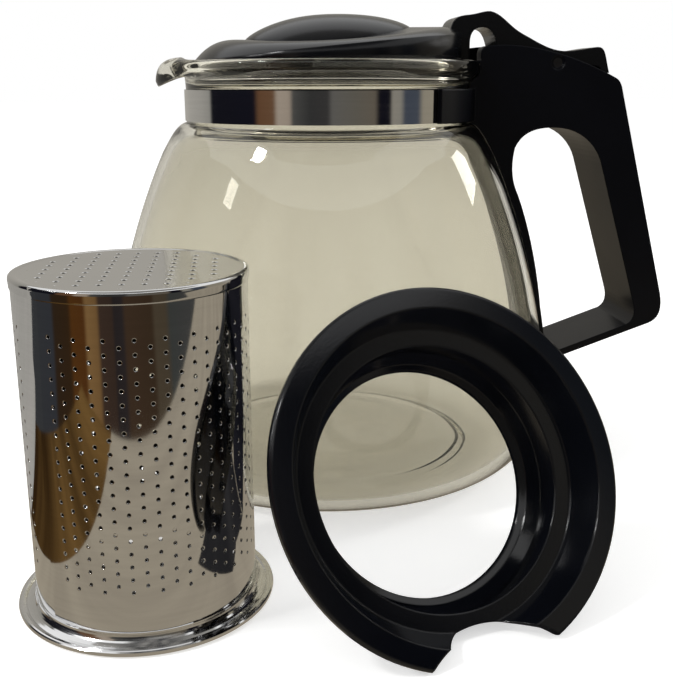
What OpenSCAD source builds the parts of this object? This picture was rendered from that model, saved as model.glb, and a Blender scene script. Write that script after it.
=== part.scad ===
// Glass teapot with a hinged lid, a side handle, a perforated steel infuser and a
// stepped holder ring. The lid is shut on the empty pot, the infuser stands upside down
// beside it and the holder ring leans next to the infuser.
// Origin: the pot's axis on the table. +X points to the handle, -X to the spout, +Z up.

/* [Glass body] */
// Largest outer radius of the glass body
belly_r = 80.1; // [79.5:0.1:80.6]
// Height of the widest part of the body
belly_z = 28; // [26:0.5:30]
// Thickness of the blown wall
glass_t = 2.6; // [2.2:0.1:2.8]
// Outer radius of the neck
neck_r = 49.6; // [49.5:0.05:49.7]
// Height where the shoulder meets the neck
neck_z = 122.4; // [122:0.1:122.6]
// Height of the rim
rim_z = 143; // [142.6:0.1:143]
// Outer radius of the rounded collar at the rim
collar_r = 53.1; // [52.6:0.1:53.2]
// Reach of the pouring lip from the axis
lip_reach = 59.9; // [57:0.1:62]
// Half of the angle that the pouring lip spreads over
lip_spread = 42; // [36:1:46]

/* [Neck band and clamp] */
// Thickness of the steel band
band_t = 0.55; // [0.45:0.05:0.6]
// Height of the steel band
band_h = 10.4; // [9:0.1:10.5]
// Nominal diameter of the clamp screw
screw_d = 4; // [3:0.5:4]

/* [Handle] */
// Width of the handle
handle_w = 29.6; // [28:0.2:32]
// Width of the slot for the lid's lever
slot_w = 17.4; // [17:0.1:18]
// Reach of the grip's back at its foot
grip_reach = 123.4; // [122:0.2:125]
// Half of the angle that the wings spread round the neck
wing_angle = 51; // [40:1:60]
// Distance of the lid's pin from the pot's axis
pin_x = 78.8; // [78.4:0.1:79]
// Height of the lid's pin
pin_z = 142.3; // [142:0.1:142.5]
// Radius of the lid's pin
pin_r = 1.6; // [1.4:0.1:1.8]

/* [Lid] */
// Radius of the lid's resting flange
flange_r = 47.8; // [47.2:0.1:47.8]
// Radius of the plug that drops into the neck
plug_r = 46; // [45.5:0.1:46]
// Radius of the lid's cover
cover_r = 46.8; // [46:0.1:46.8]
// Height of the cover's crown
crown_z = 152.7; // [152:0.1:153]
// Rise of the cover from the spout to the lever, in degrees
crown_tilt = 2.9; // [2:0.1:3.5]
// Radius of the broad knob
knob_r = 28.6; // [27:0.1:30]
// Height of the broad knob
knob_h = 7.1; // [5:0.1:7.5]
// Width of the lever
lever_w = 16; // [15:0.2:16.2]

/* [Infuser] */
// Outer radius of the infuser's tube
tube_r = 29.7; // [29:0.1:29.8]
// Height of the infuser
tube_h = 90.7; // [85:0.1:94]
// Thickness of the infuser's sheet
sheet_t = 0.5; // [0.4:0.05:0.6]
// Outer radius of the flared rim
flare_r = 34.6; // [34:0.1:34.65]

/* [Holder ring] */
// Outer radius of the ring's flange
ring_r = 49; // [48.5:0.1:49.2]
// Radius of the hole that the infuser passes through
hole_r = 30.75; // [30.6:0.05:31]
// Radius of the cut-out at the pouring side
notch_r = 28; // [27:0.1:28.4]
// Lean of the ring's face from level, in degrees
ring_lean = 61.2; // [61:0.1:61.4]

/* [Resolution] */
// Segments of each long curve
curve_n = 18; // [12:1:24]

/* [Hidden] */

$fn = 96;
seam = 0.12;
far = 200;

glass_c = "#cfe0d2";
steel_c = "#c9ccd0";
black_c = "#1b1b1d";

band_z = neck_z + 0.7;
band_r = neck_r + 0.05;
lip_z = neck_z + 10.8;
bore_r = neck_r - 3.1;
wing_r = band_r + band_t + 0.1;
lug_y = 5.1;
block_w = 2 * lug_y - 0.2;
block_x = band_r + band_t + 0.6;
screw_z = band_z + band_h / 2;
wall_x = block_x + 4.6;
deck_x = 57.6;
slot_end = 100.4;
slot_floor = 122.8;
flange_z = rim_z - 2.5;
seat_z = flange_z + 1.5;
infuser_pos = [-60.7, -106, 0];
ring_pos = [19.6, -129.4, 41];
ring_turn = -72.1;

// Points of a cubic Bezier curve, without its first point.
function bez(a, b, c, d, n = curve_n) =
    [for (i = [1:n]) let (t = i / n, u = 1 - t)
        u * u * u * a + 3 * u * u * t * b + 3 * u * t * t * c + t * t * t * d];

// The reversed list.
function back(list) = [for (i = [len(list) - 1:-1:0]) list[i]];

// Outside of the glass from the foot ring to the widest part, grown outward by g.
function base_out(g = 0) = let (grow = [g, 0]) concat(
    [[56 + g, 0]],
    bez([56, 0] + grow, [70, 0] + grow, [belly_r + 0.7, 8] + grow, [belly_r, belly_z] + grow, 12));

// Outside of the glass from the widest part to the neck, grown outward by g.
function wall_out(g = 0) = let (grow = [g, 0]) concat(
    bez([belly_r, belly_z] + grow, [belly_r - 0.1, 52] + grow, [70, 88] + grow, [58.4, 112.3] + grow),
    bez([58.4, 112.3] + grow, [55.4, 117.5] + grow, [53.5, neck_z - 1] + grow,
        [neck_r + 0.4, neck_z] + grow, 8));

// Inside of the glass from the floor's edge to the widest part.
function base_in() = let (r = belly_r - glass_t) concat(
    bez([44, 8], [50, 7.4], [50.5, 3.6], [56, 3.6], 6),
    bez([56, 3.6], [68, 3.6], [r + 0.1, 10], [r, belly_z], 12));

// Inside of the glass from the widest part to the neck.
function wall_in() = let (r = belly_r - glass_t) concat(
    bez([r, belly_z], [r - 0.1, 52], [70 - glass_t, 88], [58.4 - glass_t, 111.5]),
    bez([58.4 - glass_t, 111.5], [53, 116.6], [51.3, neck_z - 3.4], [bore_r + 1.4, neck_z - 2.2], 8));

// Section of the round collar at the rim, and of the drooping lip, point for point. The
// collar's inner ledge carries the lid's flange.
function collar() = let (r = neck_r, z = rim_z) concat(
    [[r - seam, lip_z - 0.6], [r - seam, lip_z + 0.1]],
    bez([r - seam, lip_z + 0.1], [r - seam, lip_z + 1.4], [r + 0.5, z - 7.1], [r + 1, z - 6.1], 6),
    bez([r + 1, z - 6.1], [r + 1.6, z - 5.4], [r + 3.3, z - 4.8], [collar_r, z - 3], 6),
    bez([collar_r, z - 3], [collar_r + 0.3, z - 1], [r + 3.2, z], [r + 1.7, z], 6),
    bez([r + 1.7, z], [r + 0.2, z], [r - 0.8, z - 0.4], [r - 1.2, z - 1.8], 4),
    [[r - 1.4, z - 2.7], [bore_r + seam, z - 3.7], [bore_r + seam, lip_z - 0.6]]);

function lip() = let (r = neck_r, z = rim_z, t = lip_reach) concat(
    [[r - seam, lip_z - 0.6], [r - seam, lip_z + 0.1]],
    bez([r - seam, lip_z + 0.1], [r + 0.6, z - 2.5], [t - 3.7, z], [t - 2.9, z - 6.5], 6),
    bez([t - 2.9, z - 6.5], [t - 2.5, z - 10.4], [t + 0.3, z - 10.1], [t, z - 6.7], 6),
    bez([t, z - 6.7], [t - 0.3, z - 0.2], [t - 4.4, z + 1], [r + 1.3, z + 1.3], 6),
    bez([r + 1.3, z + 1.3], [r, z + 1.3], [r - 0.4, z - 0.2], [r - 0.8, z - 1.6], 4),
    [[r - 1.3, z - 2.7], [bore_r + seam, z - 3.7], [bore_r + seam, lip_z - 0.6]]);

// Share of the lip in the section at angle a from the spout: one at the middle, none at the ends.
function lip_share(a) = abs(a) >= lip_spread ? 0 : pow((1 + cos(180 * a / lip_spread)) / 2, 3);

// Section of the rim at angle a.
function rim_section(a) = let (w = lip_share(a), p = collar(), q = lip())
    [for (i = [0:len(p) - 1]) p[i] + w * (q[i] - p[i])];

// Rim: one mesh swept round the neck, in fine steps over the spout and wider ones elsewhere.
module rim(fine = 28, wide = 46) {
    n = len(rim_section(0));
    turns = concat(
        [for (k = [0:fine - 1]) -lip_spread + 2 * lip_spread * k / fine],
        [for (k = [0:wide - 1]) lip_spread + (360 - 2 * lip_spread) * k / wide]);
    m = len(turns);
    points = [for (a = turns) for (p = rim_section(a)) [-p[0] * cos(a), -p[0] * sin(a), p[1]]];
    faces = [for (k = [0:m - 1]) for (i = [0:n - 1])
        let (j = (i + 1) % n, a = k * n, b = ((k + 1) % m) * n)
        for (f = [[a + i, a + j, b + j], [a + i, b + j, b + i]]) f];
    polyhedron(points, faces, convexity = 6);
}

// The pot is one blown glass, given as three level rings of it that meet face to face.
// Base: pushed-up floor, flat foot ring and the round underside of the belly.
module glass_base() color(glass_c) rotate_extrude(convexity = 6) polygon(concat(
    [[0, 9], [0, 5.5], [46, 4.3], [51, 1], [52, 0]],
    base_out(),
    back(base_in()),
    [[44, 8]]));

// Wall: the belly above its widest part, and the shoulder.
module glass_wall() color(glass_c) rotate_extrude(convexity = 6) polygon(concat(
    [[belly_r, belly_z]],
    wall_out(),
    [[bore_r, neck_z]],
    back(wall_in()),
    [[belly_r - glass_t, belly_z]]));

// Neck: straight throat under the band, and the rim with its pouring lip.
module glass_neck() color(glass_c) {
    rotate_extrude(convexity = 6) polygon(
        [[neck_r + 0.4, neck_z], [neck_r, neck_z + 0.6], [neck_r, lip_z], [bore_r, lip_z],
         [bore_r, neck_z]]);
    rim();
}

// Space filled by the pot and its band, with play p, that the handle is cut back from.
module pot_space(p = 0.2) {
    rotate_extrude(convexity = 4) polygon(concat(
        [[0, -5], [56 + p, -5]],
        base_out(p),
        wall_out(p),
        [[band_r + band_t + p, neck_z + 0.1], [band_r + band_t + p, lip_z + 0.3],
         [neck_r + p, lip_z + 0.4], [neck_r + 0.6 + p, rim_z - 7.4], [neck_r + 1.1 + p, rim_z - 6.3],
         [neck_r + 2.8 + p, rim_z - 5.4], [collar_r + p, rim_z - 3.4], [collar_r + 0.1 + p, rim_z - 1.4],
         [neck_r + 2.9 + p, rim_z - 0.4], [neck_r + 1.7, rim_z + p], [0, rim_z + p]]));
}

// Steel band round the neck. Its two ends turn outward and hook behind the clamp block.
module neck_band() color(steel_c) {
    gap = asin(lug_y / band_r);
    end_x = band_r * cos(gap);
    translate([0, 0, band_z]) {
        rotate([0, 0, gap]) rotate_extrude(angle = 360 - 2 * gap)
            translate([band_r, 0]) square([band_t, band_h]);
        for (s = [0, 1]) mirror([0, s, 0]) {
            translate([end_x, lug_y, 1.2]) cube([block_x + 3.7 - end_x, band_t, band_h - 2.4]);
            translate([block_x + 3.15, 3.4, 1.2]) cube([band_t, lug_y - 3.4 + band_t, band_h - 2.4]);
        }
    }
}

// Steel block inside the handle's front wall: the screw draws it outward and it pulls the
// band's hooked ends tight.
module clamp_block() color(steel_c) difference() {
    translate([block_x, -block_w / 2, band_z + 1.2]) cube([3, block_w, band_h - 2.4]);
    translate([block_x - 1, 0, screw_z]) rotate([0, 90, 0]) cylinder(h = 8, d = screw_d);
}

// Socket-headed screw, reached through the lever's slot.
module clamp_screw() color(steel_c) {
    head_r = 0.86 * screw_d;
    difference() {
        translate([0, 0, screw_z]) rotate([0, 90, 0]) {
            translate([0, 0, block_x]) cylinder(h = deck_x + 0.05 - block_x, d = screw_d - 0.05);
            translate([0, 0, deck_x + 0.05]) cylinder(h = screw_d, r = head_r);
        }
        translate([deck_x + 1.6, 0, screw_z]) rotate([0, 90, 0])
            cylinder(h = screw_d, r = 0.43 * screw_d, $fn = 6);
    }
}

// Side outline of the whole handle, as a list of [x, z].
function handle_side() = let (g = grip_reach) concat(
    [[44, 100], [44, rim_z], [51.6, rim_z]],
    bez([51.6, rim_z], [51.4, 145.6], [51.2, 147.5], [53.6, 147.8], 6),
    bez([53.6, 147.8], [66, 149.5], [84, 145.5], [100.2, 137]),
    bez([100.2, 137], [101.3, 136.3], [101.7, 135.4], [102.2, 134.3], 4),
    bez([g - 1.3, 61.8], [g + 0.8, 54.5], [g + 0.2, 50.3], [g - 4.4, 48.5], 10),
    [[74, 32.6], [68, 30.5]]);

// Side outline of the opening for the fingers.
function finger_hole() = concat(
    bez([66.7, 96.9], [71.8, 84.5], [76.3, 66], [77.9, 48.5], 10),
    bez([77.9, 48.5], [78.6, 42], [79.5, 37.2], [84.5, 38.9], 8),
    bez([109.5, 47.7], [112.4, 48.8], [113.9, 51.2], [112.8, 55.5], 8),
    [[96.5, 107.9]],
    bez([96.5, 107.9], [94.3, 114.5], [88, 120.2], [79, 120.3], 10),
    bez([79, 120.3], [73, 120.4], [67.5, 119.5], [64.8, 113.4], 10),
    bez([64.8, 113.4], [63.3, 106], [64.6, 101], [66.7, 96.9], 8));

// A side outline as a slab of width w across the handle's middle.
module across(w) {
    translate([0, w / 2, 0]) rotate([90, 0, 0]) linear_extrude(height = w, convexity = 6) children();
}

// Moulded handle: a strap against the glass, lower bar, slanted grip, box over the shoulder
// with the slot for the lever, and two wings round the neck band.
module handle() color(black_c) {
    difference() {
        across(handle_w) polygon(handle_side());
        difference() {
            across(handle_w + 2) polygon(finger_hole());
            pot_space(1.6);
        }
        pot_space();
        translate([deck_x, -slot_w / 2, slot_floor]) cube([slot_end - deck_x, slot_w, 40]);
        translate([40, -slot_w / 2, 136]) cube([deck_x - 39, slot_w, 40]);
        translate([neck_r, -lug_y - band_t - 0.3, band_z - 0.3])
            cube([wall_x - neck_r, 2 * (lug_y + band_t + 0.3), band_h + 0.6]);
        translate([wall_x - 1, 0, screw_z]) rotate([0, 90, 0]) cylinder(h = 8, r = screw_d / 2 + 0.2);
        translate([pin_x, far / 2, pin_z]) rotate([90, 0, 0]) cylinder(h = far, r = pin_r);
        for (s = [-1, 1]) translate([pin_x, s * handle_w / 2, pin_z]) rotate([90, 0, 0])
            translate([0, 0, -0.5]) cylinder(h = 1, r = 1.5 * pin_r);
    }
    difference() {
        translate([0, 0, band_z - 0.2]) rotate([0, 0, -wing_angle]) rotate_extrude(angle = 2 * wing_angle)
            translate([wing_r, 0]) square([1.7, band_h + 0.4]);
        translate([0, -handle_w / 2 + 1, 0]) cube([far, handle_w - 2, far]);
    }
}

// Pin through both cheeks of the handle and the lever's boss.
module hinge_pin() color(steel_c)
    translate([pin_x, handle_w / 2 - 0.5, pin_z]) rotate([90, 0, 0]) cylinder(h = handle_w - 1, r = pin_r);

// Crowned surface of the cover, lowered by d, as a solid of revolution about a leaning axis.
module crown(d = 0) {
    translate([6, 0, crown_z - d]) rotate([0, -crown_tilt, 0]) rotate_extrude()
        polygon(concat([[0, -40], [0, 0]],
            [for (i = [1:curve_n]) let (r = 56 * i / curve_n) [r, -4 * pow(r / 46.8, 4.2)]],
            [[56, -40]]));
}

// Shallow cover of the lid, open below, with a seat for the knob and a notch for the lever's foot.
module lid_cover() color(black_c) difference() {
    intersection() {
        translate([0, 0, seat_z]) cylinder(h = 40, r = cover_r);
        crown();
    }
    intersection() {
        translate([0, 0, seat_z - 1]) cylinder(h = 40, r = cover_r - 2);
        crown(3);
    }
    translate([0, 0, crown_z - 1.3]) rotate([0, -3.4, 0]) cylinder(h = 10, r = knob_r - 3);
    translate([41.8, -lever_w / 2 - 0.1, seat_z - 1]) cube([20, lever_w + 0.2, 30]);
}

// Broad low knob: a pillow-shaped dome sunk into the cover's seat.
module lid_knob() color(black_c) translate([0, 0, crown_z - 1.3]) rotate([0, -3.4, 0])
    rotate_extrude() polygon(concat([[0, 0]],
        [[knob_r - 3.1, 0], [knob_r - 3.1, 1], [knob_r, 1]],
        [for (i = [1:curve_n]) let (r = knob_r * sin(90 - 90 * i / curve_n))
            [r, 1 + (knob_h - 1) * pow(1 - pow(r / knob_r, 2.2), 0.8)]]));

// Flange that rests on the rim and the plug below it.
module lid_liner() color(black_c) translate([0, 0, flange_z]) rotate_extrude()
    polygon([[0, 0], [plug_r - 2, 0], [plug_r - 2, -3], [plug_r, -3], [plug_r, 0], [flange_r - 0.3, 0],
             [flange_r, 0.3], [flange_r, 1.2], [flange_r - 0.3, 1.5], [0, 1.5]]);

// Side outline of the lever: foot on the lid, arch, arm, boss and thumb pad.
function lever_side() = concat(
    [[42, seat_z], [42, 152.5]],
    bez([42, 152.5], [42.4, 156.6], [44, 158.1], [48.7, 158.3], 8),
    bez([48.7, 158.3], [52, 158.7], [53.5, 159.6], [56, 159.5], 6),
    bez([56, 159.5], [60.5, 158.6], [62.5, 154.6], [68, 151.9], 10),
    bez([68, 151.9], [73.5, 149.2], [78, 146.2], [84, 146.3], 10),
    bez([84, 146.3], [88, 146.5], [91, 147.2], [95, 147.7], 6),
    bez([95, 147.7], [98.2, 147.9], [98, 144.5], [99.8, 138.9], 8),
    [[97.4, 138.9]],
    bez([97.4, 138.9], [96.6, 142], [92, 142.6], [86, 138.2], 8),
    [[72, 138.2], [60, 144]],
    bez([60, 144], [58.4, 147], [58.6, 154.2], [53.6, 154.2], 10),
    bez([53.6, 154.2], [50.6, 154.2], [49, 152.6], [49, 149.2], 8),
    [[49, seat_z + 1.5], [47.6, seat_z + 1.5], [47.6, seat_z]]);

// Lever: fixed on the lid, swings on the pin when its pad is pressed.
module lid_lever() color(black_c) difference() {
    across(lever_w) polygon(lever_side());
    translate([pin_x, far / 2, pin_z]) rotate([90, 0, 0]) cylinder(h = far, r = pin_r + 0.05);
}

// Tube of the infuser, rolled from one sheet.
module infuser_tube() color(steel_c) translate(infuser_pos) difference() {
    translate([0, 0, 4]) cylinder(h = tube_h - 4.2, r = tube_r);
    translate([0, 0, -1]) cylinder(h = tube_h + 2, r = tube_r - sheet_t);
}

// End disc, folded down over the tube's end.
module infuser_end() color(steel_c) translate(infuser_pos) translate([0, 0, tube_h])
    rotate_extrude() polygon(concat([[0, -0.7], [0, -0.2]],
        [[tube_r - 1.4, -0.2], [tube_r - 1, 0]],
        bez([tube_r - 1, 0], [tube_r + 0.1, 0], [tube_r + 0.35, -0.3], [tube_r + 0.35, -1], 5),
        [[tube_r + 0.35, -3], [tube_r, -3], [tube_r, -0.15], [tube_r - sheet_t, -0.15],
         [tube_r - sheet_t - 0.4, -0.7]]));

// Flared rim with a rolled edge, welded to the tube's open end.
module infuser_rim() color(steel_c) translate(infuser_pos) rotate_extrude()
    polygon(concat([[tube_r - sheet_t, 4]],
        bez([tube_r - sheet_t, 4], [tube_r - sheet_t, 2], [tube_r + 0.6, 0.9], [tube_r + 2.6, 0.5], 8),
        bez([tube_r + 2.6, 0.5], [flare_r - 1.4, 0], [flare_r, -0.2], [flare_r, 0.9], 6),
        bez([flare_r, 0.9], [flare_r, 2], [flare_r - 1.4, 1.8], [tube_r + 2.7, 1.1], 6),
        bez([tube_r + 2.7, 1.1], [tube_r + 0.9, 1.5], [tube_r, 2.6], [tube_r, 4], 8)));

// Stepped ring that carries the infuser in the neck: flange, upper wall, ledge, lower wall
// and the seat for the infuser's flared rim. Its face is level at z = 0 before it is leaned.
module ring_body() difference() {
    rotate_extrude() polygon([
        [ring_r - 5.8, 0], [ring_r - 0.6, 0], [ring_r, -0.6], [ring_r, -2.2], [ring_r - 0.6, -2.8],
        [45.2, -2.8], [42, -10.4], [36.7, -10.4], [36.6, -17],
        [33.6, -21.8], [hole_r, -21.8], [hole_r, -20.2], [32.6, -19.5],
        [34.75, -15.5], [34.9, -8.5], [39.6, -8.2], [ring_r - 6, -0.6]]);
    translate([66.5, 1.3, -30]) cylinder(h = 40, r = notch_r);
}

// The ring as it leans, resting on the two horns of its cut-out.
module holder_ring() color(black_c)
    translate(ring_pos) rotate([0, ring_lean, ring_turn]) ring_body();

glass_base();
glass_wall();
glass_neck();
neck_band();
handle();
clamp_block();
clamp_screw();
hinge_pin();
lid_cover();
lid_knob();
lid_liner();
lid_lever();
infuser_tube();
infuser_end();
infuser_rim();
holder_ring();
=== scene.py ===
import math

import bmesh
import bpy
import numpy as np
from mathutils import Matrix, Vector


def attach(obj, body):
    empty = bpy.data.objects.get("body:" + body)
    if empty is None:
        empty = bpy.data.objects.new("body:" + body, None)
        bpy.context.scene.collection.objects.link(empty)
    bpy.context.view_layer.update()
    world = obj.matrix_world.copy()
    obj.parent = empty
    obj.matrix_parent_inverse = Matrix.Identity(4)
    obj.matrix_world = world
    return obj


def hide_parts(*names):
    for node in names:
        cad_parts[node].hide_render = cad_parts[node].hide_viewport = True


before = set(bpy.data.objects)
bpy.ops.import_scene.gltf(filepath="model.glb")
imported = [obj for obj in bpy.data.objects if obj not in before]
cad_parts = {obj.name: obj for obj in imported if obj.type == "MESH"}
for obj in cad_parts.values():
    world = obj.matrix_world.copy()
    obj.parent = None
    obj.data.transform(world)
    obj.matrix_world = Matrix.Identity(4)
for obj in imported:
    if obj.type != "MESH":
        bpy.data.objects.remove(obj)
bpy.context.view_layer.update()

# ---- Camera ----
# Stands 35 cm from the pot's axis on the side of the infuser and the ring, at the height of
# the lid, and looks a little down and to the right, with a lens of medium length.
camera = bpy.data.objects.new("camera", bpy.data.cameras.new("camera"))
bpy.context.scene.collection.objects.link(camera)
camera.data.sensor_fit = "HORIZONTAL"
camera.data.sensor_width = 36
camera.data.lens = 51.89
camera.data.clip_start = 0.01
camera.data.clip_end = 50
sight = Vector((0.10063, 0.95998, -0.26138)).normalized()
across = Vector((0.99450, -0.10471, -0.00169)).normalized()
overhead = across.cross(sight)
camera.matrix_world = Matrix.Translation((-0.03398, -0.35361, 0.13667)) @ Matrix(
    (across, overhead, -sight)
).transposed().to_4x4()
bpy.context.scene.camera = camera
bpy.context.scene.view_settings.view_transform = "Standard"

# ---- Table and light ----
# White paper table without an edge, a white room and three square lamps: two on the left and
# one behind right. The table's own glow fades where the standing infuser shuts it in.


class Wire:
    """An output in a node tree. Sums, products and comparisons of wires become Math nodes."""

    def __init__(self, tree, socket=None):
        self.tree = tree
        self.socket = socket

    def add(self, kind, settings=None, values=None, out=0):
        """New node: its settings are set first, then its sockets get values or wires."""
        made = self.tree.nodes.new(kind)
        for name, value in (settings or {}).items():
            if name == "stops":
                stops = made.color_ramp.elements
                while len(stops) < len(value):
                    stops.new(0.5)
                for stop, (place, colour) in zip(stops, value):
                    stop.position = place
                    stop.color = (*colour, 1) if len(colour) == 3 else colour
            else:
                setattr(made, name, value)
        for name, value in (values or {}).items():
            if isinstance(value, Wire):
                self.tree.links.new(value.socket, made.inputs[name])
            else:
                made.inputs[name].default_value = value
        return Wire(self.tree, made.outputs[out] if made.outputs else None)

    def other(self, out):
        """Another output of the same node."""
        return Wire(self.tree, self.socket.node.outputs[out])

    def math(self, operation, *others):
        return self.add(
            "ShaderNodeMath",
            {"operation": operation},
            dict(enumerate((self,) + others)),
        )

    def mix(self, low, high):
        """Colour between low at 0 and high at 1."""
        return self.add("ShaderNodeMix", {"data_type": "RGBA"}, {0: self, 6: low, 7: high}, out=2)

    def clipped(self):
        """Held between 0 and 1."""
        result = self.math("MULTIPLY", 1.0)
        result.socket.node.use_clamp = True
        return result

    def __add__(self, other):
        return self.math("ADD", other)

    def __sub__(self, other):
        return self.math("SUBTRACT", other)

    def __mul__(self, other):
        return self.math("MULTIPLY", other)

    def __truediv__(self, other):
        return self.math("DIVIDE", other)

    def __lt__(self, other):
        return self.math("LESS_THAN", other)

    def __rsub__(self, other):
        return self.add("ShaderNodeMath", {"operation": "SUBTRACT"}, {0: other, 1: self})


def new_material(name):
    """Material with an empty node tree, and the wire that its nodes are added from."""
    material = bpy.data.materials.new(name)
    material.use_nodes = True
    material.node_tree.nodes.clear()
    return material, Wire(material.node_tree)


def seen_white(start):
    """One for camera, mirror and glass rays, which see the table and the room white."""
    path = start.add("ShaderNodeLightPath", out="Is Camera Ray")
    return (path + path.other("Is Glossy Ray") + path.other("Is Transmission Ray")).clipped()


def from_axis(place, x, y):
    """Distance of a place from the upright axis at x and y."""
    right = place.add("ShaderNodeSeparateXYZ", None, {"Vector": place}, out="X")
    right, deep = right - x, right.other("Y") - y
    return (right * right + deep * deep).math("SQRT")


infuser_x, infuser_y, infuser_r = -0.0607, -0.106, 0.0297
table_material, start = new_material("white_table")
paper = start.add("ShaderNodeBsdfDiffuse", None, {"Color": (0.85, 0.85, 0.84, 1)})
# Painted shade: inside the standing infuser, where ambient occlusion finds the table shut in, the
# table's glow is taken away.
under = from_axis(start.add("ShaderNodeTexCoord", out="Object"), infuser_x, infuser_y) < infuser_r
shut = start.add("ShaderNodeAmbientOcclusion", {"samples": 4}, {"Distance": 0.12}, out="AO")
closed_in = under * (1 - (shut * 4).clipped())
own_light = seen_white(start) * (1 - closed_in) * 0.55
glow = start.add("ShaderNodeEmission", None, {"Strength": own_light})
shown = start.add("ShaderNodeAddShader", None, {0: paper, 1: glow})
start.add("ShaderNodeOutputMaterial", None, {"Surface": shown})

table = bpy.data.meshes.new("table")
far, table_z = 6, -0.0002
table.from_pydata(
    [(-far, -far, table_z), (far, -far, table_z), (far, far, table_z), (-far, far, table_z)],
    [],
    [(0, 1, 2, 3)],
)
table.materials.append(table_material)
table_object = bpy.data.objects.new("table", table)
bpy.context.scene.collection.objects.link(table_object)

room = bpy.data.worlds.new("room")
bpy.context.scene.world = room
room.use_nodes = True
room.node_tree.nodes.clear()
start = Wire(room.node_tree)
# Rays that only light things up get about half of the room's white, which keeps the shadows.
brightness = seen_white(start) * 0.45 + 0.55
sky = start.add("ShaderNodeBackground", None, {"Color": (1, 1, 1, 1), "Strength": brightness})
start.add("ShaderNodeOutputWorld", None, {"Surface": sky})

lamp_target = Vector((0, -0.03, 0.06))
for name, place, size, power in (
    ("high_lamp", Vector((-0.96, -0.45, 1.21)), 0.17, 6),
    ("left_lamp", Vector((-1.29, -0.34, 0.87)), 0.17, 6),
    ("right_lamp", Vector((1.37, 0.35, 0.68)), 0.3, 5),
):
    lamp = bpy.data.lights.new(name, "AREA")
    lamp.shape = "SQUARE"
    lamp.size = size
    lamp.energy = power
    lamp_object = bpy.data.objects.new(name, lamp)
    aim = (lamp_target - place).to_track_quat("-Z", "Y")
    lamp_object.matrix_world = Matrix.Translation(place) @ aim.to_matrix().to_4x4()
    bpy.context.scene.collection.objects.link(lamp_object)

# ---- Studio screens ----
# Glowing mat, cloths, cards, round wall and ceiling that only mirrors see: painted reflections
# of a room, with painted shade by the ring. They stand out of the picture and give the polished
# steel, the glass and the gloss something to show.


def screen(name, points, faces, colour_of):
    """Glossy-only stage piece whose glow colour comes from a function of its tree's start."""
    material, start = new_material(name)
    paint = start.add("ShaderNodeEmission", None, {"Color": colour_of(start), "Strength": 1.0})
    start.add("ShaderNodeOutputMaterial", None, {"Surface": paint})
    mesh = bpy.data.meshes.new(name)
    mesh.from_pydata(np.asarray(points, float).tolist(), [], faces)
    mesh.materials.append(material)
    made = bpy.data.objects.new(name, mesh)
    bpy.context.scene.collection.objects.link(made)
    for ray in ("camera", "diffuse", "transmission", "volume_scatter", "shadow"):
        setattr(made, "visible_" + ray, False)


def level(corners, z):
    """Level sheet: the corners' x and y as given, and one height."""
    return np.insert(np.array(corners, float), 2, z, 1), [tuple(range(len(corners)))]


def sheet_on_table(x0, y0, x1, y1, z=-0.0001):
    """Level sheet between two corners."""
    return level(((x0, y0), (x1, y0), (x1, y1), (x0, y1)), z)


def streaked_reflection(dark, light, scale):
    """Painted reflection in long streaks along X between two colours: a wood tone on the mat,
    painted shade on the dark sheets.
    """
    def colour(start):
        place = start.add("ShaderNodeTexCoord", out="Object")
        long = (scale * 0.08, scale, scale)
        streak = start.add("ShaderNodeMapping", None, {"Vector": place, "Scale": long})
        noise = start.add(
            "ShaderNodeTexNoise", None, {"Vector": streak, "Scale": 1.0, "Detail": 4.0}
        )
        stops = ((0.35, dark), (0.65, light))
        return start.add("ShaderNodeValToRGB", {"stops": stops}, {"Fac": noise})
    return colour


def round_the_room(stops, centre=(0, 0)):
    """Colours by compass angle: the arc tangent of Y and X, from -180 to 180 degrees."""
    def colour(start):
        place = start.add("ShaderNodeTexCoord", out="Object")
        x = start.add("ShaderNodeSeparateXYZ", None, {"Vector": place}, out="X")
        turn = (x.other("Y") - centre[1]).math("ARCTAN2", x - centre[0]) / (2 * math.pi) + 0.5
        return start.add(
            "ShaderNodeValToRGB",
            {"stops": [((degrees + 180) / 360, tone) for degrees, tone in stops]},
            {"Fac": turn},
        )
    return colour


mat_left, mat_front, cloth_back, far_side = -0.121, -0.283, -0.06, 0.9
screen(
    "mat", *sheet_on_table(mat_left, mat_front, 1.0, far_side),
    streaked_reflection((0.31, 0.27, 0.21), (0.37, 0.325, 0.25), 60),
)
screen(
    "amber_board", *sheet_on_table(-0.235, mat_front, mat_left, cloth_back),
    streaked_reflection((0.03, 0.015, 0.005), (0.17, 0.095, 0.03), 22),
)
screen("front_cloth", *sheet_on_table(-1.0, -far_side, 1.0, cloth_back, -0.00015), round_the_room((
    (-180, (0.036, 0.038, 0.042)), (-163, (0.034, 0.036, 0.042)), (-160, (0.03, 0.018, 0.01)),
    (-144, (0.034, 0.018, 0.008)), (-141, (0.085, 0.033, 0.008)), (-129, (0.08, 0.03, 0.008)),
    (-126, (0.21, 0.12, 0.046)), (-117, (0.18, 0.10, 0.038)), (-114, (0.045, 0.028, 0.02)),
    (-103, (0.04, 0.025, 0.018)), (-101, (0.022, 0.018, 0.018)), (-94, (0.025, 0.02, 0.02)),
    (-91, (0.05, 0.03, 0.018)), (-68, (0.042, 0.026, 0.015)), (-65, (0.07, 0.053, 0.034)),
    (-55, (0.066, 0.05, 0.032)), (-51, (0.045, 0.048, 0.045)), (-36, (0.05, 0.05, 0.048)),
    (170, (0.04, 0.042, 0.045)),
), (infuser_x, infuser_y)))
screen(
    "back_left_cloth", *sheet_on_table(-1.0, cloth_back, mat_left, far_side),
    streaked_reflection((0.36, 0.35, 0.32), (0.42, 0.40, 0.37), 12),
)

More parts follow.
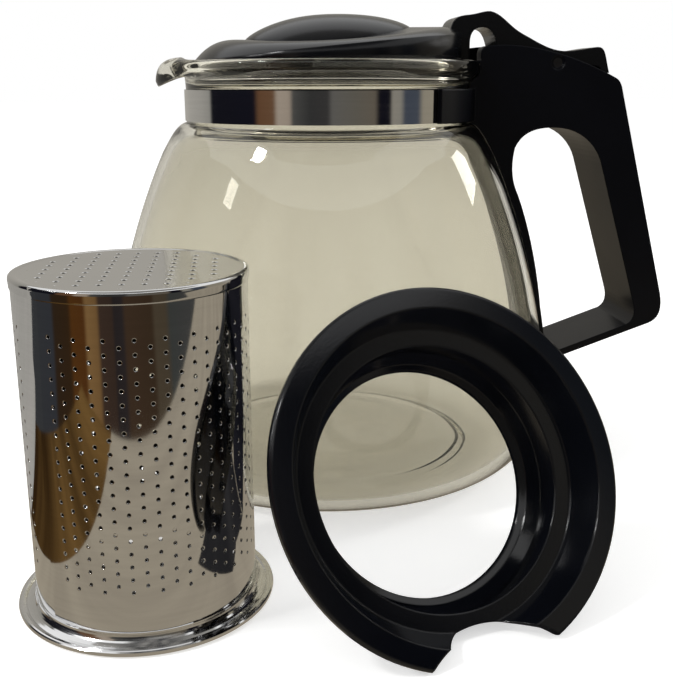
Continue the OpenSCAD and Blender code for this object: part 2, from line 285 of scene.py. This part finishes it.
shade_corners = (
    (-0.013, -0.152), (0.075, -0.152), (0.075, -0.085),
    (0.012, -0.085), (0.003, -0.107), (-0.013, -0.118),
)
screen(
    "ring_shade", *level(shade_corners, -0.00005),
    streaked_reflection((0.012, 0.012, 0.014), (0.03, 0.029, 0.03), 30),
)
# Painted shade in the infuser's mirror: a near-black card behind the ring, for the ring's shadow on
# the table and the dark glass beyond it.
shade_card_y = -0.084
screen(
    "painted_shade_card",
    [(0.012, shade_card_y, 0), (0.06, shade_card_y, 0), (0.06, shade_card_y, 0.1),
     (-0.001, shade_card_y, 0.1), (-0.001, shade_card_y, 0.037)],
    [(0, 1, 2, 3, 4)],
    streaked_reflection((0.004, 0.004, 0.006), (0.012, 0.012, 0.016), 40),
)

sides = 96
turn = np.radians(np.linspace(0, 360, sides, endpoint=False))
circle = np.stack((np.cos(turn), np.sin(turn)), 1)
room_h, wall_r, ceiling_r, ceiling_at = 0.62, 0.8, 0.36, (-0.03, -0.15)
screen(
    "ceiling",
    *level(ceiling_r * circle + ceiling_at, room_h),
    round_the_room((
        (-180, (0.30, 0.29, 0.27)), (-150, (0.10, 0.10, 0.10)), (-128, (0.34, 0.33, 0.31)),
        (-112, (0.07, 0.07, 0.07)), (-90, (0.22, 0.21, 0.20)), (-75, (0.06, 0.06, 0.065)),
        (-50, (0.30, 0.29, 0.27)), (-30, (0.10, 0.10, 0.10)), (20, (0.32, 0.31, 0.29)),
        (120, (0.36, 0.35, 0.33)),
    ), ceiling_at),
)
this = np.arange(sides)
after = np.roll(this, -1)
screen(
    "round_wall",
    np.vstack((level(wall_r * circle, 0)[0], level(wall_r * circle, room_h)[0])),
    np.stack((this, after, sides + after, sides + this), 1).tolist(),
    round_the_room((
        (-180, (0.007, 0.007, 0.011)), (-152, (0.007, 0.007, 0.012)),
        (-148, (0.13, 0.065, 0.033)), (-136, (0.14, 0.075, 0.04)), (-133, (0.37, 0.31, 0.25)),
        (-124, (0.35, 0.29, 0.23)), (-121, (0.07, 0.07, 0.066)), (-108, (0.035, 0.035, 0.034)),
        (-95, (0.04, 0.038, 0.037)), (-92, (0.12, 0.115, 0.105)), (-74, (0.12, 0.11, 0.09)),
        (-60, (0.13, 0.11, 0.085)), (-57, (0.006, 0.006, 0.01)), (-48, (0.006, 0.006, 0.01)),
        (-46, (0.27, 0.25, 0.21)), (-39, (0.25, 0.235, 0.20)), (-35, (0.055, 0.065, 0.085)),
        (-23, (0.06, 0.07, 0.09)), (-18, (0.29, 0.26, 0.20)), (0, (0.30, 0.27, 0.21)),
        (25, (0.42, 0.40, 0.36)), (110, (0.42, 0.40, 0.36)), (150, (0.36, 0.345, 0.31)),
        (162, (0.30, 0.29, 0.26)), (165, (0.007, 0.007, 0.011)),
    )),
)

# ---- Glass body ----
# Blown borosilicate pot: one wall from the pushed-up base over the belly and neck to a
# rounded collar, drawn out into a drooping lip at the spout. Ground flat under its foot.


def route(start, *legs):
    """Points of a profile from a start. A leg of two numbers is a straight line to there. A leg
    of two guides, an end and a count is a cubic Bezier curve: at a share t of the way, the last
    point, the guides and the end weigh (1-t) cubed, 3t (1-t) squared, 3t squared (1-t) and
    t cubed."""
    rows = [np.array([start], float)]
    for leg in legs:
        if len(leg) == 2:
            rows.append(np.array([leg], float))
            continue
        a = rows[-1][-1]
        b, c, d = np.array(leg[:3], float)
        t = np.linspace(0, 1, leg[3] + 1)[1:, None]
        rows.append(
            (1 - t) ** 3 * a + 3 * (1 - t) ** 2 * t * b + 3 * (1 - t) * t**2 * c + t**3 * d
        )
    return np.vstack(rows)


def closed(name, points, quads):
    """Object of points in millimetres and four-cornered faces. Points that meet are merged,
    and the faces are turned outward."""
    mesh = bpy.data.meshes.new(name)
    mesh.from_pydata((points * 0.001).tolist(), [], quads.tolist())
    loose = bmesh.new()
    loose.from_mesh(mesh)
    bmesh.ops.remove_doubles(loose, verts=loose.verts, dist=1e-7)
    bmesh.ops.recalc_face_normals(loose, faces=loose.faces)
    loose.to_mesh(mesh)
    loose.free()
    mesh.shade_smooth()
    made = bpy.data.objects.new(name, mesh)
    bpy.context.scene.collection.objects.link(made)
    return made


def shell(name, grid):
    """Closed surface of a grid of points whose rows go round: four neighbours make a face."""
    rows, columns = grid.shape[:2]
    index = np.arange(rows * columns).reshape(rows, columns)
    index = np.vstack((index, index[:1]))
    quads = np.stack((index[:-1, :-1], index[1:, :-1], index[1:, 1:], index[:-1, 1:]), -1)
    return closed(name, grid.reshape(-1, 3), quads.reshape(-1, 4))


def turned(name, profile, centre):
    """Solid of revolution: each radius and height of the profile goes round the upright axis
    at the centre, in 192 steps."""
    angle = np.linspace(0, 2 * np.pi, 192, endpoint=False)[:, None]
    r, z = np.asarray(profile, float).T
    grid = np.stack((r * np.cos(angle), r * np.sin(angle), z + 0 * angle), -1)
    return shell(name, grid + np.array(centre))


# Radii, heights and the wall's thickness in millimetres, and half of the lip's angle in degrees.
neck_r, belly_r, shoulder_r, wall = 49.6, 80.1, 58.4, 2.6
neck_z, rim_z, belly_z = 122.4, 143.0, 28
lip_z, lip_reach, lip_spread = neck_z + 10.8, 59.9, 42
bore_r = neck_r - 3.1

outside = np.vstack((
    route(
        (0, 5.5), (15, 5.35), (30, 4.95),
        ((38, 4.7), (44, 3.6), (48.6, 2.9), 10),
        ((49.5, 2.75), (49, 1.4), (49.8, 1.2), 6),
    ),
    route(
        (51.4, 1.15),
        ((52.4, 1.1), (51.9, 0.1), (52.8, 0), 6),
        (56, 0),
        ((70, 0), (belly_r + 0.7, 8), (belly_r, belly_z), 26),
        ((belly_r - 0.1, 52), (70, 88), (shoulder_r, 112.3), 46),
        ((55.4, 117.5), (53.5, neck_z - 1), (neck_r + 0.4, neck_z), 14),
        ((neck_r, neck_z + 0.2), (neck_r, neck_z + 0.8), (neck_r, neck_z + 1.6), 4),
        (neck_r, lip_z - 0.6),
    )[1:],
))
collar = route(
    (neck_r, lip_z + 0.1),
    ((neck_r, lip_z + 1.4), (neck_r + 0.5, rim_z - 7.1), (neck_r + 1, rim_z - 6.1), 10),
    ((neck_r + 1.6, rim_z - 5.4), (neck_r + 3.3, rim_z - 4.8), (53.1, rim_z - 3), 10),
    ((53.4, rim_z - 1), (neck_r + 3.2, rim_z), (neck_r + 1.7, rim_z), 10),
    ((neck_r + 0.2, rim_z), (neck_r - 0.8, rim_z - 0.4), (neck_r - 1.2, rim_z - 1.8), 8),
    ((neck_r - 1.4, rim_z - 2.8), (neck_r - 2, rim_z - 3.3), (bore_r, rim_z - 3.9), 6),
)
lip = route(
    (neck_r, lip_z + 0.1),
    ((neck_r + 0.2, rim_z - 3.5), (neck_r + 0.6, rim_z - 1), (neck_r + 3.5, rim_z - 1), 10),
    ((lip_reach - 0.4, rim_z - 1.2), (lip_reach - 2.3, rim_z - 13), (lip_reach, rim_z - 6.7), 10),
    ((lip_reach - 0.3, rim_z - 0.2), (lip_reach - 4.4, rim_z + 1), (neck_r + 1.3, rim_z + 1.3), 10),
    ((neck_r, rim_z + 1.3), (neck_r - 0.4, rim_z - 0.2), (neck_r - 0.8, rim_z - 1.6), 8),
    ((neck_r - 1.2, rim_z - 2.8), (neck_r - 2, rim_z - 3.3), (bore_r, rim_z - 3.9), 6),
)
inner_r = belly_r - wall
inside = route(
    (0, 9), (15, 8.9), (30, 8.6),
    ((42, 8.2), (48, 4.4), (58, 3.6), 16),
    ((68, 3.5), (inner_r + 0.1, 10), (inner_r, belly_z), 24),
    ((inner_r - 0.1, 52), (70 - wall, 88), (shoulder_r - wall, 111.5), 46),
    ((53, 116.6), (51.3, neck_z - 3.4), (bore_r + 1.4, neck_z - 2.2), 12),
    ((bore_r, neck_z - 1.2), (bore_r, neck_z), (bore_r, neck_z + 1), 5),
    (bore_r, lip_z),
    ((bore_r + 2.9, lip_z + 1.2), (bore_r + 2.9, rim_z - 4.2), (bore_r + 0.1, rim_z - 4), 12),
)[::-1]

angle = np.radians(np.concatenate((
    np.linspace(-lip_spread, lip_spread, 96, endpoint=False),
    np.linspace(lip_spread, 360 - lip_spread, 176, endpoint=False),
)))
share = np.where(
    np.abs(np.degrees(angle)) < lip_spread,
    ((1 + np.cos(angle * 180 / lip_spread)) / 2) ** 3,
    0,
)[:, None, None]
# Round the rim the profile is the collar, and moves towards the lip by a share that is the
# cube of a raised cosine of the angle from the spout.
rim = collar + share * (lip - collar)
profile = np.concatenate((
    np.broadcast_to(outside, (len(angle), *outside.shape)),
    rim,
    np.broadcast_to(inside, (len(angle), *inside.shape)),
), 1)
grid = np.stack((
    -profile[..., 0] * np.cos(angle)[:, None],
    -profile[..., 0] * np.sin(angle)[:, None],
    profile[..., 1],
), -1)
glass = shell("glass", grid)

glass_material, start = new_material("clear_glass")
place = start.add("ShaderNodeTexCoord", out="Object")
ripple = start.add("ShaderNodeTexNoise", None, {"Vector": place, "Scale": 55.0, "Detail": 1.0})
ripple_bump = start.add(
    "ShaderNodeBump", None, {"Height": ripple, "Strength": 0.05, "Distance": 0.0006}
)
drawn = start.add("ShaderNodeMapping", None, {"Vector": place, "Scale": (36, 36, 7)})
smears = start.add("ShaderNodeTexNoise", None, {"Vector": drawn, "Scale": 1.0, "Detail": 4.0})
surface = start.add(
    "ShaderNodeBsdfPrincipled",
    None,
    {
        "Base Color": start.add(
            "ShaderNodeValToRGB",
            {"stops": ((0.3, (0.695, 0.672, 0.595)), (0.7, (0.72, 0.70, 0.625)))},
            {"Fac": smears},
        ),
        "Roughness": smears * 0.012,
        "Transmission Weight": 1.0,
        "IOR": 1.47,
        "Normal": ripple_bump,
    },
)
depth = start.add(
    "ShaderNodeVolumeAbsorption", None, {"Color": (0.47, 0.42, 0.25, 1), "Density": 30.0}
)
start.add("ShaderNodeOutputMaterial", None, {"Surface": surface, "Volume": depth})
glass.data.materials.append(glass_material)
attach(glass, "pot")
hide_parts("glass_base", "glass_wall", "glass_neck")

# ---- Steel band and clamp ----
# Polished spring steel strip round the neck, its ends hooked behind a block that a
# socket-headed screw draws into the handle.


def steel(name, colour, low, high, wave, cut=None):
    """Polished sheet: fine wear streaks vary the gloss, and a slow wave bends its mirror. The
    function cut, where there is one, turns place and colour into the sockets it changes."""
    material, start = new_material(name)
    place = start.add("ShaderNodeTexCoord", out="Object")
    long = start.add("ShaderNodeMapping", None, {"Vector": place, "Scale": (40, 40, 900)})
    streaks = start.add("ShaderNodeTexNoise", None, {"Vector": long, "Scale": 1.0, "Detail": 4.0})
    slow = start.add("ShaderNodeTexNoise", None, {"Vector": place, "Scale": 24.0, "Detail": 1.0})
    sheen = start.add(
        "ShaderNodeValToRGB",
        {"stops": ((0.25, tuple(c * 0.93 for c in colour)), (0.75, colour))},
        {"Fac": streaks},
    )
    sockets = {
        "Base Color": sheen,
        "Metallic": 1.0,
        "Roughness": streaks * (high - low) + low,
        "Normal": start.add(
            "ShaderNodeBump", None, {"Height": slow, "Strength": wave, "Distance": 0.001}
        ),
    }
    if cut:
        sockets.update(cut(place, sheen))
    surface = start.add("ShaderNodeBsdfPrincipled", None, sockets)
    start.add("ShaderNodeOutputMaterial", None, {"Surface": surface})
    return material


def dress(node, material):
    """A CAD node keeps its mesh and gets the material in all its slots."""
    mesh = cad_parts[node].data
    mesh.materials.clear()
    mesh.materials.append(material)


band_steel = steel("polished_band", (0.80, 0.80, 0.80), 0.04, 0.12, 0.05)
dress("neck_band", band_steel)
plain_steel = steel("turned_steel", (0.62, 0.62, 0.61), 0.2, 0.35, 0.02)
for node in ("clamp_block", "clamp_screw"):
    dress(node, plain_steel)
dress("hinge_pin", steel("pin_steel", (0.06, 0.06, 0.066), 0.3, 0.45, 0.02))

# ---- Handle ----
# One moulding of satin black plastic: wings over the band, a box for the lever, a slanted grip
# and a bar back to the glass. The clamp's screw holds it to the band.


def moulded(name, colour, low, high, grain, shine):
    """Injection-moulded plastic: faint cloudy colour, satin gloss that varies, fine skin grain."""
    material, start = new_material(name)
    dark, light = (tuple(c * share for c in colour) for share in (0.8, 1.2))
    place = start.add("ShaderNodeTexCoord", out="Object")
    clouds = start.add("ShaderNodeTexNoise", None, {"Vector": place, "Scale": 30.0, "Detail": 6.0})
    skin = start.add("ShaderNodeTexNoise", None, {"Vector": place, "Scale": 1400.0, "Detail": 2.0})
    surface = start.add(
        "ShaderNodeBsdfPrincipled",
        None,
        {
            "Base Color": start.add(
                "ShaderNodeValToRGB", {"stops": ((0.3, dark), (0.7, light))}, {"Fac": clouds}
            ),
            "Roughness": clouds * (high - low) + low,
            "Specular IOR Level": shine,
            "Normal": start.add(
                "ShaderNodeBump",
                None,
                {
                    "Height": skin,
                    "Strength": grain,
                    "Distance": 0.0001,
                    "Normal": start.add("ShaderNodeBevel", {"samples": 6}, {"Radius": 0.0007}),
                },
            ),
        },
    )
    start.add("ShaderNodeOutputMaterial", None, {"Surface": surface})
    return material


dress("handle", moulded("handle_plastic", (0.0011, 0.0016, 0.0042), 0.26, 0.42, 0.2, 0.2))

# ---- Lid ----
# Smooth black moulded cover that swells toward the lever, with a broad pillow-shaped knob.
# Below it the liner's plug fits the neck, and the lever carries all of it to the handle's pin.
cover_r, knob_r, seat_z, apex_z, cover_t = 46.8, 28.6, 142.0, 158.6, 2
compass = np.linspace(0, 2 * np.pi, 192, endpoint=False)[:, None]
ahead = np.cos(compass)
brim_z = 148.9 + 2.2 * ahead + 3.3 * ahead**2
edge_z = 147 + 0.1 * cover_r * ahead


def lid_part(name, radius, height):
    """Closed shape whose point at a compass angle is its radius times the angle's cosine and
    sine, and its height, for each pair of the radius and height rows."""
    radius = np.broadcast_to(radius, height.shape)
    return shell(name, np.stack((radius * np.cos(compass), radius * np.sin(compass), height), -1))


def shoulder(inset):
    """Top of the cover: from the edge of its side it rises to the brim by one less the
    two-and-a-half power of what is left of the way, and runs level to the knob."""
    width = 9.5 - 4 * ahead + 1.5 * ahead**2
    way = np.clip((cover_r - inset) / width, 0, 1)
    return edge_z + (brim_z - edge_z) * (1 - (1 - way) ** 2.5)


outer = cover_r - 20 * np.linspace(0, 1, 28)[None] ** 1.5
inner = outer[:, ::-1] - cover_t
foot = 0 * ahead + seat_z
cover = lid_part(
    "cover",
    np.hstack((
        [[cover_r - cover_t, cover_r - 0.25, cover_r]], outer, inner, [[cover_r - cover_t]],
    )),
    np.hstack((
        foot, foot, foot + 0.25, shoulder(outer), shoulder(inner + cover_t) - cover_t, foot,
    )),
)
# The knob's top is one less the sine of its way out to the power 2.2, all to the power 0.8.
outward = np.sin(np.linspace(0, np.pi / 2, 26))[None, ::-1]
dome = (1 - outward**2.2) ** 0.8
peak = apex_z + 0.03 * knob_r * outward * ahead
knob_top = peak - (peak - brim_z) * (1 - dome)
knob = lid_part(
    "knob",
    np.hstack((knob_r * outward, [[0, knob_r - 2, knob_r - 0.3]]))[:, ::-1],
    np.hstack((knob_top, 0 * ahead + 147, brim_z - 1.6, brim_z - 0.5))[:, ::-1],
)
lid_plastic = moulded("lid_plastic", (0.003, 0.0035, 0.0048), 0.13, 0.24, 0.12, 0.28)
for made, node in ((cover, "lid_cover"), (knob, "lid_knob")):
    made.data.materials.append(lid_plastic)
    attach(made, "lid")
    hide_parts(node)
for node in ("lid_liner", "lid_lever"):
    dress(node, lid_plastic)

# ---- Infuser ----
# Polished steel tube rolled from one sheet whose edges lap at a seam, punched with staggered
# columns of holes, with a folded end disc and a flared rim.


def punched(name, turns, heights, radius, sheet, row, column, hole_r, dish_r, dish, centre):
    """Tube on a grid of compass angles and heights: a point is its radius times the angle's
    cosine and sine, and its height. A hole sits on a grid point and takes the four squares
    round it. Eight spokes run from the squares' outline to a dish's edge, down to the hole's
    edge, through the sheet, and back out to the outline on the inside."""
    rows, columns = len(heights), len(turns)
    per_ring = 8 * len(row)

    def wall(angle, height, r):
        cylinder = np.broadcast_arrays(r * np.cos(angle), r * np.sin(angle), height)
        return np.stack(cylinder, -1).reshape(-1, 3)

    index = np.arange(rows * columns).reshape(rows, columns)
    whole = np.ones((rows - 1, columns), bool)
    for down in (-1, 0):
        for left in (-1, 0):
            whole[row + down, (column + left) % columns] = False
    nearer = np.roll(index, -1, 1)
    squares = np.stack((index[:-1], nearer[:-1], nearer[1:], index[1:]), -1)[whole]
    behind = rows * columns
    spoke = np.radians(np.arange(8) * 45)[None]
    up = np.array([0, 1, 1, 1, 0, -1, -1, -1])
    along = np.array([1, 1, 0, -1, -1, -1, 0, 1])
    outline = (row[:, None] + up) * columns + (column[:, None] + along) % columns
    points = [wall(turns[None], heights[:, None], radius[None] - depth) for depth in (0, sheet)]
    rings = [outline]
    base_r = radius[column][:, None]
    for k, (r, depth) in enumerate(((dish_r, 0), (hole_r, dish), (hole_r, sheet))):
        points.append(wall(
            turns[column][:, None] + r * np.cos(spoke) / base_r,
            heights[row][:, None] + r * np.sin(spoke), base_r - depth,
        ))
        rings.append(2 * behind + per_ring * k + np.arange(per_ring).reshape(-1, 8))
    rings.append(outline + behind)
    faces = [squares, squares + behind]
    for one, two in zip(rings, rings[1:]):
        faces.append(np.stack((one, np.roll(one, -1, 1), np.roll(two, -1, 1), two), -1))
    for k in (0, -1):
        faces.append(np.stack((index[k], nearer[k], nearer[k] + behind, index[k] + behind), -1))
    points = np.vstack(points)
    made = closed(name, points + np.array(centre), np.vstack([f.reshape(-1, 4) for f in faces]))
    # Normals point away from the axis, so that the sheet mirrors as one round wall, and at a
    # hole's edge they lean to its middle.
    away = points * (1, 1, 0) / np.hypot(points[:, 0], points[:, 1])[:, None]
    away[behind:2 * behind] *= -1
    middle = np.repeat(points[row * columns + column], 8, 0)
    edge = slice(2 * behind + per_ring, 2 * behind + 2 * per_ring)
    back = slice(edge.stop, edge.stop + per_ring)
    to_middle = (middle - points[edge]) / hole_r
    away[edge] += to_middle
    away[back] = to_middle - away[back]
    away /= np.linalg.norm(away, axis=1)[:, None]
    made.data.normals_split_custom_set_from_vertices(away.tolist())
    return made


def inside_dark(place, sheen):
    """Painted shade: dull grey where the distance from the infuser's axis is under the tube's inner
    side and the height is under its end, since the closed inside gets no light."""
    height = place.add("ShaderNodeSeparateXYZ", None, {"Vector": place}, out="Z")
    reach = from_axis(place, infuser_x, infuser_y)
    inside = (reach < (tube_r - 0.3) * 0.001) * (height < (tube_top - 0.1) * 0.001)
    colour = inside.mix(sheen, (0.03, 0.03, 0.03, 1))
    return {"Base Color": colour, "Roughness": inside * 0.5 + 0.06}


def pierced(place, sheen):
    """Round holes on a square grid over the end disc, each with a dished rim."""
    x = place.add("ShaderNodeSeparateXYZ", None, {"Vector": place}, out="X")
    right, deep = (x * 1000 - infuser_at[0]), (x.other("Y") * 1000 - infuser_at[1])
    reach = (right * right + deep * deep).math("SQRT")
    steps = [way / end_pitch - (way / end_pitch).math("ROUND") for way in (right, deep)]
    off = (steps[0] * steps[0] + steps[1] * steps[1]).math("SQRT") * end_pitch
    field = reach < tube_r - 4
    solid = 1 - (off < 0.5) * field
    dish = (1 - (off - 0.45) / 0.6).clipped() * field
    bump = place.add(
        "ShaderNodeBump", None, {"Height": dish * -1, "Strength": 1.0, "Distance": 0.0003}
    )
    made = inside_dark(place, sheen)
    made.update({"Alpha": solid, "Normal": bump})
    return made


# In millimetres: the sheet's thickness, the tube's top, the pitch of the holes up the tube and
# over the disc, and the height of the top row. A column of holes stands on every other angle,
# and each second column is half a pitch lower.
infuser_at, tube_r = (infuser_x * 1000, infuser_y * 1000, 0), infuser_r * 1000
sheet_t, tube_top, hole_pitch, end_pitch, top_row = 0.5, 90.4, 3.46, 5.3, 79.1
hole_rows, hole_columns = 19, 49
half = hole_pitch / 2
heights = np.concatenate((
    [4, 6, 9],
    top_row - half * np.arange(2 * hole_rows, -2, -1),
    [82.7, 85, 87.5, tube_top],
))
# At the seam the sheet rises by the lap of 0.42 at once, and falls back over three steps.
steps, seam = np.arange(104), 100
turns = np.radians(-125.7 + steps * 360 / len(steps))
turns[seam] = turns[seam + 1] - 0.012
radius = tube_r + np.where(steps > seam, 0.42 * (len(steps) - steps) / 3, 0)
k, m = np.meshgrid(np.arange(hole_columns), np.arange(hole_rows), indexing="ij")
tube = punched(
    "tube", turns, heights, radius, sheet_t,
    (len(heights) - 6 - 2 * m - k % 2).ravel(), (2 * k).ravel(),
    hole_r=0.5, dish_r=0.68, dish=0.1, centre=infuser_at,
)
tube.data.materials.append(steel("tube_steel", (0.78, 0.78, 0.78), 0.05, 0.14, 0.10, inside_dark))

# The end disc is set a little into its fold, which grips the tube's edge.
top = tube_top + 0.3
end = turned("end", route(
    (0, top - 0.7), (0, top - 0.2), (tube_r - 2.2, top - 0.2),
    ((tube_r - 1.6, top - 0.2), (tube_r - 1.5, top), (tube_r - 0.8, top), 5),
    ((tube_r + 0.3, top), (tube_r + 0.45, top - 0.6), (tube_r + 0.4, top - 1.4), 8),
    (tube_r + 0.3, top - 2.5),
    ((tube_r + 0.35, top - 3.1), (tube_r + 0.2, top - 3.3), (tube_r, top - 3.2), 4),
    (tube_r, top - 0.7),
), infuser_at)
end.data.materials.append(steel("end_steel", (0.72, 0.72, 0.72), 0.08, 0.2, 0.10, pierced))
for made, node, slot in (
    (tube, "infuser_tube", "perforated_steel"),
    (end, "infuser_end", "infuser_steel"),
):
    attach(made, "infuser")
    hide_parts(node)
dress("infuser_rim", steel("rim_steel", (0.78, 0.78, 0.78), 0.05, 0.14, 0.10))

# ---- Holder ring ----
# Glossy black moulded ring, stepped to sit in the neck and to carry the infuser, with a
# cut-out for pouring. It is loose, and leans where it was put down.
dress("holder_ring", moulded("ring_plastic", (0.0026, 0.0031, 0.0048), 0.08, 0.17, 0.05, 0.5))
